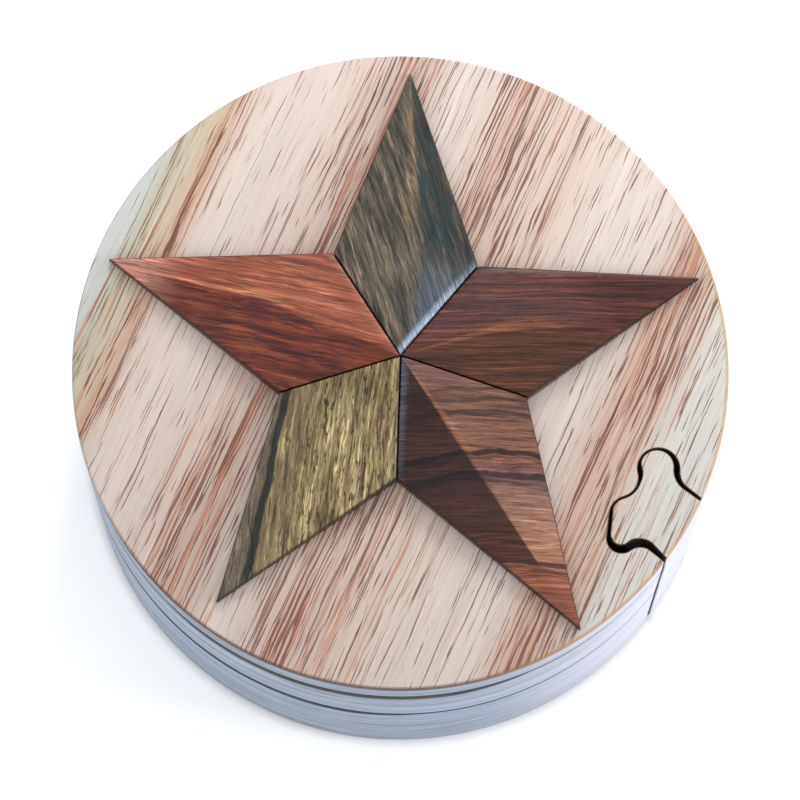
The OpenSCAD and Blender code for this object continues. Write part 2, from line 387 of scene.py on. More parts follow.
def grid_within(solid, rings, step):
    """Points of a square grid that lie inside rings, well clear of them."""
    rows = [np.array([solid.points[i][:2] for i in ring]) for ring in rings]
    reach = np.arange(-RIM, RIM, step)
    grid = np.array([(x, y) for x in reach for y in reach])
    grid = grid[inside(grid, rows)]
    batch = 200
    for row in rows:
        for start in range(0, len(row), batch):
            part = row[start : start + batch]
            gap = np.linalg.norm(grid[:, None] - part[None], axis=2).min(1)
            grid = grid[gap > 0.7 * step]
    return grid


# ---- Shader building ----

def linear(colour, share=1.0):
    """A colour written as #rrggbb, as the linear values that a shader works in."""
    values = [int(colour[i : i + 2], 16) / 255 for i in (1, 3, 5)]
    values = [v / 12.92 if v <= 0.04045 else ((v + 0.055) / 1.055) ** 2.4 for v in values]
    return (*[v * share for v in values], 1.0)


class Value:
    """What a shader node gives, with ordinary arithmetic."""

    def __init__(self, shader, socket):
        self.shader = shader
        self.socket = socket

    def math(self, operation, first, second=0.0):
        return self.shader.value("ShaderNodeMath", {0: first, 1: second}, operation=operation)

    def __add__(self, other):
        return self.math("ADD", self, other)

    def __sub__(self, other):
        return self.math("SUBTRACT", self, other)

    def __rsub__(self, other):
        return self.math("SUBTRACT", other, self)

    def __mul__(self, other):
        return self.math("MULTIPLY", self, other)

    def __truediv__(self, other):
        return self.math("DIVIDE", self, other)


class Shader:
    """A material's node tree with short ways to add to it, and the colour as worked out so far.
    Places are in millimetres."""

    def __init__(self, name):
        self.material = bpy.data.materials.new(name)
        self.material.use_nodes = True
        self.nodes = self.material.node_tree.nodes
        self.surface = self.nodes["Principled BSDF"].inputs
        self.seed = 0.0
        self.colour = None

    def add(self, kind, inputs, **settings):
        """A new node with its settings and inputs."""
        made = self.nodes.new(kind)
        for key, value in settings.items():
            setattr(made, key, value)
        for key, value in inputs.items():
            self.feed(made.inputs[key], value)
        return made

    def value(self, kind, inputs, output=0, **settings):
        return Value(self, self.add(kind, inputs, **settings).outputs[output])

    def feed(self, socket, value):
        if isinstance(value, Value):
            self.material.node_tree.links.new(value.socket, socket)
        else:
            socket.default_value = value

    def grain(self, direction, tilt=0.0):
        """The place on the piece, with X along the grain and Y across it."""
        where = self.value("ShaderNodeTexCoord", {}, "Object")
        turn = (0, math.radians(tilt), -math.radians(direction))
        scale = (1 / MM, 1 / MM, 1 / MM)
        return self.value(
            "ShaderNodeMapping", {"Vector": where, "Rotation": turn, "Scale": scale}
        )

    def split(self, vector):
        made = self.add("ShaderNodeSeparateXYZ", {0: vector})
        return [Value(self, socket) for socket in made.outputs]

    def join(self, x, y, z):
        return self.value("ShaderNodeCombineXYZ", {0: x, 1: y, 2: z})

    def noise(self, place, size, detail=2.0, rough=0.5, distortion=0.0):
        """Noise from 0 to 1 whose blots are about size long, in millimetres, each way."""
        self.seed += 17.3
        moved = (self.seed, 1.7 * self.seed, 0.6 * self.seed)
        scale = tuple(1 / s for s in size)
        scaled = self.value(
            "ShaderNodeMapping", {"Vector": place, "Scale": scale, "Location": moved}
        )
        return self.value(
            "ShaderNodeTexNoise",
            {"Vector": scaled, "Scale": 1.0, "Detail": detail, "Roughness": rough,
             "Distortion": distortion},
        )

    def swing(self, place, size, reach, detail=2.0):
        """Noise from -reach to reach."""
        return (self.noise(place, size, detail) - 0.5) * (2 * reach)

    def waved(self, place, *waves):
        """The place moved across the grain by noise: each wave is a reach and a size."""
        x, y, z = self.split(place)
        for reach, size in waves:
            y = y + self.swing(place, size, reach)
        return self.join(x, y, z)

    def mask(self, value, low, high):
        """0 below low and 1 above high, or the other way round if low is more than high."""
        return self.value(
            "ShaderNodeMapRange", {"Value": value, "From Min": low, "From Max": high},
            interpolation_type="SMOOTHSTEP",
        )

    def line(self, value, centre, half, soft):
        """1 within half of the centre, falling to 0 over soft."""
        away = value - centre
        return self.mask(away.math("ABSOLUTE", away), half + soft, half)

    def ramp(self, value, stops):
        """Colours or numbers at places from 0 to 1."""
        made = self.add("ShaderNodeValToRGB", {0: value})
        elements = made.color_ramp.elements
        while len(elements) < len(stops):
            elements.new(0.5)
        for element, (at, colour) in zip(elements, stops):
            element.position = at
            element.color = linear(colour) if isinstance(colour, str) else (colour,) * 3 + (1,)
        return Value(self, made.outputs[0])

    def mix(self, share, a, b, blend="MIX"):
        return self.value(
            "ShaderNodeMix", {0: share, 6: a, 7: b}, 2, data_type="RGBA", blend_type=blend
        )

    def tint(self, share, tint, blend="MIX"):
        """Mixes a share of a tint into the colour."""
        tint = linear(tint) if isinstance(tint, str) else tint
        self.colour = self.mix(share, self.colour, tint, blend)

    def tone(self, value, low, high):
        """Multiplies the colour by low to high as the value runs from 0.25 to 0.75."""
        times = self.value(
            "ShaderNodeMapRange",
            {"Value": value, "From Min": 0.25, "From Max": 0.75, "To Min": low, "To Max": high},
        )
        self.tint(1.0, times, "MULTIPLY")

    def mark(self, name):
        """A mark of the mesh, such as cut or edge."""
        return self.value("ShaderNodeAttribute", {}, "Fac", attribute_name=name)

    def upwards(self):
        """1 on level faces, 0 on upright ones."""
        up = self.split(self.value("ShaderNodeNewGeometry", {}, "Normal"))[2]
        return self.mask(up.math("ABSOLUTE", up), 0.55, 0.9)

    def finish(self, height, rough, bump=0.1, **constants):
        """Wires the colour, the relief in millimetres and the roughness to the surface."""
        relief = self.value(
            "ShaderNodeBump", {"Height": height, "Strength": 1.0, "Distance": bump * MM}
        )
        self.feed(self.surface["Base Color"], self.colour)
        self.feed(self.surface["Roughness"], rough)
        self.feed(self.surface["Normal"], relief)
        for key, value in constants.items():
            self.surface[key.replace("_", " ")].default_value = value
        return self.material


# ---- Woods of the box ----

# Colours of the lid's board across its grain: place in millimetres, colour and how streaky it is
LID_BANDS = [
    (-57, "#cbcecb", 0.3), (-54, "#c8c9c3", 0.4), (-52, "#bdb8a5", 0.7), (-49, "#c9bca4", 0.4),
    (-46, "#c9aa92", 1.0), (-43, "#dac8bc", 0.4), (-39, "#ddcec5", 0.25),
    (-32, "#dccbc1", 0.3), (-26, "#d6c2b6", 0.7), (-20, "#c6ac9d", 1.0), (-15, "#cfbdb2", 0.7),
    (-11, "#dccfc7", 0.3), (-6, "#d8c7bd", 0.5), (0, "#ccb2a4", 1.0), (6, "#d3bfb2", 0.75),
    (13, "#d6c2b4", 0.6), (21, "#dccec4", 0.35), (32, "#d9ccc3", 0.4), (37, "#c8ab9b", 1.0),
    (43, "#cbb5a6", 0.9), (48, "#d2cfc8", 0.55), (57, "#d0cfc8", 0.5),
]
RED_STREAK = "#ae6d52"
DARK_STREAK = "#6d3f31"
PALE_STREAK = "#ebe0d8"
# Size of the lid's streaks, how much more of them streaky bands have, colour, softness, strength
LID_STREAKS = [
    ((34, 1.3, 8), 0.15, RED_STREAK, 0.20, 0.32),
    ((24, 0.6, 6), 0.10, PALE_STREAK, 0.10, 0.3),
    ((34, 0.5, 6), 0.155, RED_STREAK, 0.08, 0.7),
    ((26, 0.4, 5), 0.15, DARK_STREAK, 0.07, 0.85),
    ((10, 0.34, 4), 0.12, DARK_STREAK, 0.06, 0.9),
]
# Noise above this is a streak where the board isn't streaky at all
STREAK_START = 0.685


def lid_wood(shader):
    """The open-grained pinkish wood of the lid: its colour and its relief."""
    place = shader.waved(
        shader.grain(LID_GRAIN), (0.9, (45, 12, 20)), (0.3, (11, 3, 6)), (0.1, (2.5, 0.8, 2))
    )
    along, sideways, _ = shader.split(place)
    width = 2 * RIM / MM
    share = sideways * -1.0 / width + 0.5
    shader.colour = shader.ramp(share, [(0.5 + at / width, c) for at, c, _ in LID_BANDS])
    density = shader.ramp(share, [(0.5 + at / width, dark) for at, _, dark in LID_BANDS])
    # Darker towards the front and paler towards the back along the grain: painted light falling off
    # from the back
    shader.tone(along / 220.0 + 0.5, 0.73, 1.0)
    shader.tone(shader.noise(place, (60, 3, 20)), 0.93, 1.06)
    shader.tone(shader.noise(place, (22, 0.5, 5), 3, 0.6), 0.92, 1.07)
    relief = 1.0
    for size, reach, tint, soft, strength in LID_STREAKS:
        start = STREAK_START - density * reach
        found = shader.mask(shader.noise(place, size), start, start + soft) * strength
        shader.tint(found, tint)
        if tint != PALE_STREAK:
            relief = relief - found * 0.4
    return shader.colour, relief


def edge_wood(shader):
    """The same board's wood seen on the round side, painted darker and bluer as in shade, with
    level lines.
    """
    place = shader.grain(0)
    x, y, z = shader.split(place)
    flat = shader.join(x, y, z + shader.noise(place, (45, 45, 14)) * 2.5)
    # Blue-grey and darker than the lid's wood: painted shade
    shader.colour = shader.ramp(
        shader.noise(flat, (90, 90, 2.2), 3, 0.6),
        [(0.32, "#707d90"), (0.45, "#7e8ca0"), (0.58, "#8896aa"), (0.72, "#96a3b6")],
    )
    for size, half, share in (((120, 120, 3.6), 0.016, 0.6), ((90, 90, 1.5), 0.02, 0.35)):
        ring = shader.line(shader.noise(flat, size, 1), 0.5, half, 0.025)
        shader.tint(ring * share, "#5c626c")
    pore = shader.mask(shader.noise(flat, (5, 5, 0.22), 2, 0.6), 0.62, 0.7)
    shader.tint(pore * 0.3, "#5c5f68")
    # Paler towards +X: painted light from the right
    shader.tint(shader.mask(x, 12, 50) * 0.6, "#c9c7d3")
    return shader.colour, 1.0 - pore * 0.7


def painted_seam_shadow(shader, x, y, z, up, place):
    """Painted shadow on the seam edges at the front, which are sanded deeper there, fading out
    towards the right.
    """
    uneven = shader.noise(place, (7, 7, 2), 3) * 0.5
    seam_shadows = []
    for node, (middle, half, deep) in WORN_EDGES.items():
        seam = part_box(node)[1].z / MM
        front = shader.line(x, middle, half, WORN_FADE_X) * shader.mask(y, 0, -WORN_FADE_Y)
        depth = seam - z - front * deep + uneven
        below_seam = shader.mask(z, seam + 0.2, seam)
        left = shader.mask(x, 60, 10)
        # Painted shadow: dark below each seam where the layer above shades it, less to the right
        # where the side is lit
        seam_shadows.append(shader.mask(depth, 0.5, 0.1) * below_seam * (1.0 - up) * left)
    return seam_shadows


def box_wood(name):
    """Lid wood on level faces and edge wood, the same wood painted as in shade, on the sides,
    scorched in the saw cut, with a front rim line that is brown, turning tan as a painted highlight
    on the right, and painted shade in the seams."""
    shader = Shader(name)
    top, top_relief = lid_wood(shader)
    side, side_relief = edge_wood(shader)
    up = shader.upwards()
    place = shader.grain(0)
    x, y, z = shader.split(place)
    shader.colour = shader.mix(up, side, top)
    relief = shader.mix(up, side_relief, top_relief)

    turned = shader.mark("edge")
    at_rim = shader.mask(z, LID_TOP / MM - 0.9, LID_TOP / MM - 0.6)
    in_front = shader.mask(y - x * 0.6, 20, -20)
    # The rim line at the front: dark brown on the left, turning tan on the right, where it is a
    # painted highlight of the lit rounded edge
    rim_line_and_highlight = shader.mix(shader.mask(x, 5, 40), linear("#57382a"), linear("#a98453"))
    shader.tint(shader.line(turned, 0.55, 0.2, 0.3) * at_rim * in_front * 0.85, rim_line_and_highlight)
    # Painted shade on the rounded edges at the seams, not at the rim, fading out towards the right,
    # joined by the painted seam shadows
    seam_shade = shader.mask(turned, 0.0, 0.32) * (1.0 - at_rim) * shader.mask(x, 75, 0)
    for seam_shadow in painted_seam_shadow(shader, x, y, z, up, place):
        seam_shade = seam_shade.math("MAXIMUM", seam_shade, seam_shadow)
    shader.tint(seam_shade * 0.97, "#0a0b0c")

    scorch = shader.mask(shader.noise(place, (3, 3, 9), 3), 0.1, 0.55)
    burnt = shader.mix(scorch, linear("#0f0a07"), linear("#2e1f16"))
    shader.tint(shader.mark("cut") * 0.95, burnt)
    rough = shader.ramp(shader.noise(place, (9, 9, 9), 4), [(0.3, 0.42), (0.7, 0.6)])
    return shader.finish(
        relief, rough, 0.05, Coat_Weight=0.1, Coat_Roughness=0.3, Specular_IOR_Level=0.35
    )


# ---- Woods of the star ----

def star_wood(name, direction, tones, figure, fibre, wave, contrast, own_figure):
    """A dark wood for one arm: tones run from its darkest to its palest, figure and fibre are
    the sizes of its streaks, and contrast is how far the fibres darken and lighten it."""
    shader = Shader(name)
    place = shader.waved(
        shader.grain(direction), (wave, (26, 11, 12)), (0.3 * wave, (7, 3, 5)),
        (0.06, (2, 0.7, 2)),
    )
    stops = [(0.3 + 0.4 * i / (len(tones) - 1), tone) for i, tone in enumerate(tones)]
    shader.colour = shader.ramp(shader.noise(place, figure, 4, 0.65), stops)
    own_figure(shader, place)
    shader.tone(shader.noise(place, fibre, 3, 0.65), *contrast)
    fine = (0.45 * figure[0], 0.38, 3)
    for times, share in ((0.35, 0.75), (1.9, 0.6)):
        found = shader.mask(shader.noise(place, fine, 2, 0.6), 0.55, 0.61)
        shader.tint(found * share, (times, times, times, 1), "MULTIPLY")
    pore = shader.mask(shader.noise(place, (3, 0.22, 2), 2, 0.6), 0.6, 0.68)
    shader.tint(pore * 0.45, linear(tones[0], 0.4))
    # Dark joint lines, and darker outer edges and side walls: painted shade under the arms' edges
    shader.tint(shader.mask(shader.mark("edge"), 0.25, 0.9) * 0.85, linear(tones[0], 0.3))
    gloss = shader.ramp(shader.noise(place, (8, 3, 5), 4), [(0.3, 0.3), (0.7, 0.45)])
    return shader.finish(
        1.0 - pore, gloss, 0.04, Coat_Weight=0.1, Coat_Roughness=0.2, Specular_IOR_Level=0.25
    )


def top_figure(shader, place):
    """Teal-black patches right of the ridge and a tan streak on it; the right facet painted darker
    as shade, with a painted blue sheen low down and a painted pale blue highlight along the inner
    joint.
    """
    aside = shader.mark("aside")
    along = shader.mark("along")
    right = shader.mask(aside, 0.06, -0.24)
    # The right facet darkened: painted shade
    shader.tint(right, "#aaadae", "MULTIPLY")
    patches = shader.mask(shader.noise(place, (6, 1.7, 4), 3), 0.46, 0.54)
    shader.tint(patches * right * shader.mask(along, 0.15, 0.3) * 0.75, "#1b2e31")
    broken = shader.mask(shader.noise(place, (5, 0.7, 4), 3), 0.42, 0.55)
    ridge = shader.line(aside, 0.1, 0.02, 0.12)
    shader.tint(ridge * shader.mask(along, 0.35, 0.6) * broken * 0.6, "#8f7453")
    # A blue-grey painted sheen low on the right facet
    shader.tint(right * shader.mask(along, 0.42, 0.15) * 0.55, "#586774")
    # A pale blue painted highlight along the joint with the right arm, near the middle
    joint_highlight = shader.mask(shader.mark("joint"), 0.25, 0.85)
    shader.tint(joint_highlight * shader.mask(along, 0.42, 0.1) * 0.85, "#9db0c2")


def right_figure(shader, place):
    """Long dark lines, a tan painted highlight on the ridge, purplish above and olive below it."""
    aside = shader.mark("aside")
    lines = shader.mask(shader.noise(place, (40, 0.8, 8), 2, 0.6), 0.54, 0.6)
    shader.tint(lines * 0.65, "#1c0d0e")
    below = shader.mask(aside, 0, -0.12)
    shader.tint(below * 0.5, "#412b17")
    purple = shader.mask(shader.noise(place, (18, 5, 6), 1), 0.45, 0.65)
    shader.tint((1.0 - below) * purple * 0.3, "#4a222a")
    # A tan painted highlight along the ridge near the middle
    ridge = shader.line(aside, 0.02, 0.02, 0.06)
    shader.tint(ridge * shader.line(shader.mark("along"), 0.3, 0.18, 0.12) * 0.45, "#8a5a3a")


# The lower right arm's zones and dark bands down its length, which is about 53 mm in Y. A band
# has a place, a half width and a strength.
ARM_LENGTH = 53.0
LOWER_RIGHT_ZONES = [
    (0.0, "#64494a"), (0.14, "#5c3f37"), (0.27, "#7d5544"), (0.33, "#805243"), (0.37, "#59414a"),
    (0.47, "#8f6a5b"), (0.6, "#a97860"), (0.67, "#9d5a42"), (0.9, "#7a2c1e"),
]
LOWER_RIGHT_BANDS = [
    (0.09, 0.002, 0.5), (0.13, 0.003, 0.5), (0.17, 0.005, 0.6), (0.304, 0.006, 0.9),
    (0.322, 0.002, 0.5), (0.372, 0.006, 0.75), (0.39, 0.003, 0.5), (0.648, 0.006, 0.75),
    (0.67, 0.003, 0.5), (0.74, 0.002, 0.4),
]


def lower_right_figure(shader, place):
    """Dark bowed bands across the arm and a red tip; the left facet painted darker and purplish as
    shade, a painted highlight on the ridge and a painted blue-grey sheen along the inner joint.
    """
    aside = shader.mark("aside")
    along = shader.mark("along")
    x, y, _ = shader.split(place)
    off = x - 17.0
    bow = off * off * 0.009 + shader.swing(place, (5, 3, 4), 1.0)
    down = (y + bow) / -ARM_LENGTH
    shader.tint(0.55, shader.ramp(down, LOWER_RIGHT_ZONES))
    for at, half, strength in LOWER_RIGHT_BANDS:
        shader.tint(shader.line(down, at, half, 0.007) * strength, "#1d1017")
    # A painted highlight along the ridge near the middle
    ridge = shader.line(aside, 0.03, 0.02, 0.05)
    shader.tint(ridge * shader.mask(along, 0.45, 0.25) * 0.3, "#a9673f")
    # The left facet darkened: painted shade
    left = shader.mask(aside, 0.02, -0.05)
    shader.tint(left * shader.mask(down, 0.67, 0.63), "#7f6a69", "MULTIPLY")
    # A blue-grey painted sheen along the joint with the lower left arm, near the middle
    joint_highlight = shader.mask(shader.mark("joint"), 0.2, 0.9)
    shader.tint(joint_highlight * shader.mask(along, 0.45, 0.1) * 0.45, "#667080")


def lower_left_figure(shader, place):
    """A slate-blue line down the arm with brown beside it, cracks and short black marks."""
    plan = shader.grain(0)
    x, y, _ = shader.split(plan)
    shader.tone(shader.noise(plan, (3, 9, 5)), 0.6, 1.3)
    dashes = shader.mask(shader.noise(place, (2.2, 0.45, 2), 2, 0.6), 0.57, 0.63)
    shader.tint(dashes * 0.8, "#241f17")
    wander = shader.swing(plan, (9, 9, 9), 1.0)
    beside = x + 19.4 - (y + 7.6) * 0.19 + wander
    brown = shader.mask(shader.noise(plan, (3, 8, 5)), 0.28, 0.42)
    shader.tint(brown * shader.mask(beside, 6.5, 3.0) * 0.7, "#6f5d48")
    shader.tint(shader.mask(beside, 0, -0.8) * 0.75, "#5d5449")
    slate = shader.line(beside, 0, 0.4, 0.5)
    shader.tint(slate * shader.mask(y, -42, -38) * 0.95, "#16201f")
    for middle, half, top, bottom in ((-24.3, 0.12, -30, -39), (-12.4, 0.1, -7, -15)):
        crack = shader.line(x + shader.swing(plan, (2, 2, 2), 1.25, 3), middle, half, 0.2)
        ends = shader.mask(y, top + 1, top - 1) * shader.mask(y, bottom - 1, bottom + 1)
        shader.tint(crack * ends * 0.85, "#14120e")
    shader.tint(shader.mask(shader.mark("along"), 0.88, 1.0) * 0.7, "#2f3531")


def left_figure(shader, place):
    """A painted highlight along the ridge, a lower facet painted browner as shade with swirled dark
    patches, and a pale pink tip that is a painted highlight.
    """
    aside = shader.mark("aside")
    along = shader.mark("along")
    lower = shader.mask(aside, -0.02, 0.08) * shader.mask(along, 0.98, 0.75)
    # The lower facet darkened: painted shade
    shader.tint(lower * 0.85, "#bba49c", "MULTIPLY")
    swirl = shader.waved(place, (2.2, (12, 6, 6)))
    middle = shader.line(along, 0.45, 0.2, 0.25)
    for size, low, share in (((9, 1.4, 5), 0.5, 0.7), ((5, 0.6, 4), 0.54, 0.6)):
        patch = shader.mask(shader.noise(swirl, size), low, low + 0.08)
        shader.tint(patch * lower * middle * share, "#421c22")
    # A painted highlight along the ridge
    ridge = shader.line(aside, -0.04, 0.01, 0.05)
    shader.tint(ridge * shader.line(along, 0.6, 0.12, 0.15) * 0.45, "#cf8f68")
    # The pale pink tip: a painted highlight
    shader.tint(shader.mask(along, 0.72, 0.97) * 0.65, "#d49b8d")


# ---- Other materials ----

def felt(name):
    """Dark blue wool felt."""
    shader = Shader(name)
    place = shader.grain(0)
    fibres = shader.noise(place, (0.35, 0.35, 0.35), 5, 0.7, 1.5)
    clouds = shader.noise(place, (6, 6, 6), 3)
    shader.colour = shader.mix(clouds, linear("#1c2740"), linear("#2d3b5c"))
    shader.tone(fibres, 0.65, 1.5)
    return shader.finish(
        fibres, 0.95, 0.3, Sheen_Weight=0.2, Sheen_Roughness=0.4, Specular_IOR_Level=0.2
    )


def plain_wood(name, direction, tilt, tones, fibre):
    """A pale close wood such as birch."""
    shader = Shader(name)
    place = shader.waved(shader.grain(direction, tilt), (0.4, (15, 6, 6)))
    fine = shader.noise(place, fibre, 4, 0.6)
    shader.colour = shader.ramp(fine, [(0.3, tones[0]), (0.7, tones[1])])
    shader.tone(shader.noise(place, (20, 3, 3)), 0.92, 1.06)
    pore = shader.mask(shader.noise(place, (2.5, 0.2, 0.2)), 0.62, 0.7)
    shader.tint(pore * 0.4, "#8a6236")
    return shader.finish(1.0 - pore, 0.55, 0.04)


def steel(name):
    """Zinc-plated steel, a little blotched."""
    shader = Shader(name)
    place = shader.grain(0)
    blots = shader.noise(place, (1.5, 1.5, 1.5), 4, 0.6)
    shader.colour = shader.mix(blots, linear("#a7aab0"), linear("#cfd0cf"))
    rough = shader.ramp(blots, [(0.3, 0.22), (0.7, 0.42)])
    scratches = shader.noise(place, (3, 0.08, 3), 3)
    return shader.finish(scratches, rough, 0.01, Metallic=1.0)


def paper(name):
    """The pale floor. It glows a little to stay white, but not under the box."""
    shader = Shader(name)
    place = shader.grain(0)
    tooth = shader.noise(place, (1.2, 1.2, 1.2), 4)
    clouds = shader.noise(place, (180, 180, 180))
    shader.colour = shader.mix(clouds, linear("#f8f8f8"), linear("#fbfbfb"))
    x, y, _ = shader.split(place)
    squares = x * x + y * y
    radius = squares.math("SQRT", squares)
    shader.feed(shader.surface["Emission Color"], shader.mask(radius, RIM / MM, RIM / MM + 2))
    return shader.finish(tooth, 0.7, 0.02, Specular_IOR_Level=0.2, Emission_Strength=0.2)


# ---- Pieces of the box ----

def heights(node):
    """The lowest and the highest z of a CAD node."""
    low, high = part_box(node)
    return low.z, high.z


def wood_outlines(node, height, low_soft, high_soft, holes=(), pared=None):
    """The outline of a layer and those of its holes, each with its own softening."""
    rows = level_cut(node, height)
    outer = eased(rows[0], WOOD_STEP, 0.5 * MM)
    if pared is not None:
        outer = let_out(outer, pared)
    radius = np.linalg.norm(outer, axis=1)
    outer = np.where((radius > RIM)[:, None], outer * (RIM / radius)[:, None], outer)
    at_rim = 0.15 * MM
    is_cut = np.where(radius < RIM - at_rim, 1.0, 0.0)
    if node in WORN_EDGES:
        high_soft = np.maximum(high_soft, worn_depth(outer, *WORN_EDGES[node]))
    softs = [
        np.where(is_cut > 0, np.minimum(CUT_SOFT, soft), soft) for soft in (low_soft, high_soft)
    ]
    made = [Outline(outer, *softs, is_cut)]
    for row, settings in zip(rows[1:], holes):
        made.append(Outline(eased(row, WOOD_STEP, 0.3 * MM), **settings))
    return made


def let_out(row, pared):
    """The key's outline let out into the saw cut, which stays wide on the clockwise side only.
    On that side the corner at the rim is pared away by some millimetres instead."""
    outwards = row.mean(0) / np.linalg.norm(row.mean(0))
    clockwise = np.array([outwards[1], -outwards[0]])
    normals = Outline(row, 0, 0).normals
    facing = np.clip((normals @ clockwise - 0.2) / 0.5, 0, 1)
    from_rim = RIM - np.linalg.norm(row, axis=1)
    at_rim = np.clip(1 - from_rim / (4 * MM), 0, 1)
    side = row @ clockwise
    side = np.clip(side / np.max(np.abs(side[at_rim > 0.5])), -1, 1)
    growth = LET_OUT * MM * (1 - facing * (1 - at_rim))
    stretch = at_rim * side * np.where(side > 0, LET_OUT_AT_RIM - pared, LET_OUT_AT_RIM) * MM
    return row + normals * growth[:, None] + np.outer(stretch, clockwise)


def worn_depth(row, middle, half, deep):
    """How deep a seam edge is sanded at each point of a row, in metres."""
    x, y = row.T / MM
    aside = np.clip(1 - (np.abs(x - middle) - half) / WORN_FADE_X, 0, 1)
    front = np.clip(-y / WORN_FADE_Y, 0, 1)
    smooth = [share**2 * (3 - 2 * share) for share in (aside, front)]
    return deep * MM * smooth[0] * smooth[1]


def ride_for(piece, node, slot, *more):
    """The piece stands for a CAD node, or for several of one body."""
    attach(piece, frame["nodes"][node]["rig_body"])
    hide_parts(node, *more)
    return piece


def mean_radius(row):
    """The mean distance of a row of points from the pivot."""
    return np.linalg.norm(row - np.array(PIVOT.xy), axis=1).mean()


def make_box(wood):
    """The five boards of the base, the tray and the lid."""
    hollow = dict(low_soft=GLUED_SOFT, high_soft=HOLLOW_SOFT)
    low, high = heights("base_floor")
    well = dict(low_soft=WELL_SOFT, high_soft=GLUED_SOFT)
    lines = wood_outlines("base_floor", (low + high) / 2, FOOT_SOFT, GLUED_SOFT, [well])
    ride_for(board("base_floor_board", lines, low, high, wood), "base_floor", "side_wood")
    well_r = mean_radius(level_cut("base_floor", (low + high) / 2)[-1])

    low, high = heights("base_ring")
    above_well = high - 2 * MM
    well_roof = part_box("pivot_dowel")[0].z + 0.2 * MM
    bore_r = mean_radius(level_cut("base_ring", above_well)[-1])
    bore = dict(
        low_soft=GLUED_SOFT, high_soft=WELL_SOFT, floor=(well_roof, well_r - bore_r)
    )
    lines = wood_outlines("base_ring", above_well, GLUED_SOFT, LOWER_SEAM_SOFT, [hollow, bore])
    ride_for(board("base_wall", lines, low, high, wood, 6), "base_ring", "side_wood")

    low, high = heights("tray_floor")
    bore = dict(low_soft=WELL_SOFT, high_soft=GLUED_SOFT)
    lines = wood_outlines("tray_floor", (low + high) / 2, LOWER_SEAM_SOFT, GLUED_SOFT, [bore])
    ride_for(board("tray_floor_board", lines, low, high, wood), "tray_floor", "side_wood")

    low, high = heights("tray_ring")
    bore = dict(low_soft=GLUED_SOFT, high_soft=WELL_SOFT)
    lines = wood_outlines("tray_ring", (low + high) / 2, GLUED_SOFT, SEAM_SOFT, [hollow, bore])
    ride_for(board("tray_wall", lines, low, high, wood, 4), "tray_ring", "side_wood")

    low, high = heights("lid_board")
    through_hole = low + 2 * MM
    blind = dict(low_soft=0.2 * MM, high_soft=0, roof=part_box("pivot_dowel")[1].z)
    lines = wood_outlines("lid_board", through_hole, LID_UNDER_SOFT, LID_SOFT, [blind])
    ride_for(board("lid_top_board", lines, low, high, wood, 2), "lid_board", "lid_wood")


def make_key(wood):
    """The key's three blocks. Each is the glued pair of layers that moves with one body."""
    for name, first, last, low_soft, high_soft, pared in (
        ("key_foot", "key_base_floor_layer", "key_base_layer", FOOT_SOFT, GLUED_SOFT, 0.4),
        ("key_middle", "key_tray_floor_layer", "key_tray_layer", GLUED_SOFT, GLUED_SOFT, 0.2),
        ("key_head", "key_lid_layer", "key_lid_layer", GLUED_SOFT, LID_SOFT, 0.0),
    ):
        low = heights(first)[0]
        high = heights(last)[1]
        lines = wood_outlines(last, sum(heights(last)) / 2, low_soft, high_soft, (), pared)
        piece = board(name, lines, low, high, wood, 6)
        ride_for(piece, first, "key_wood", *([last] if last != first else []))


def make_linings(material):
    """Felt on the floor and on the wall of both compartments."""
    for layer in ("base", "tray"):
        for part, high_soft, fill in (("floor", 0.35 * MM, 1.0 * MM), ("wall", 0.22 * MM, 0)):
            node = layer + "_" + part + "_lining"
            low, high = heights(node)
            rows = level_cut(node, (low + high) / 2)
            lines = [
                Outline(eased(row, FELT_STEP, 0.3 * MM), 0.02 * MM, high_soft) for row in rows
            ]
            levels = 0 if fill else round((high - low) / MM)
            name = layer + "_" + part + "_felt"
            piece = board(name, lines, low, high, material, levels, fill)
            fuzz(piece, FELT_DEPTH, low)
            ride_for(piece, node, "felt")


def fuzz(piece, depth, floor):
    """Presses a felt surface in here and there, as wool felt is never quite even."""
    mesh = piece.data
    for vertex, normal in zip(mesh.vertices, [v.normal.copy() for v in mesh.vertices]):
        if vertex.co.z > floor + 0.1 * MM:
            fine = noise.noise(vertex.co / (1.6 * MM))
            broad = noise.noise(vertex.co / (9 * MM))
            vertex.co -= normal * depth * (0.5 + 0.3 * fine + 0.2 * broad)


# ---- Star ----

def arm_corners(node):
    """The middle, the notch clockwise of the arm, its tip and the other notch: top corners."""
    mesh = frame["nodes"][node].data
    high = {}
    for v in mesh.vertices:
        key = (round(v.co.x / MM, 2), round(v.co.y / MM, 2))
        high[key] = max(high.get(key, 0), v.co.z)
    corners = [Vector((x * MM, y * MM, z)) for (x, y), z in high.items()]
    corners.sort(key=lambda p: p.xy.length)
    middle, tip = corners[0], corners[-1]
    sides = corners[1:3]
    sides.sort(key=lambda p: tip.x * p.y - tip.y * p.x)
    return middle, sides[0], tip, sides[1]


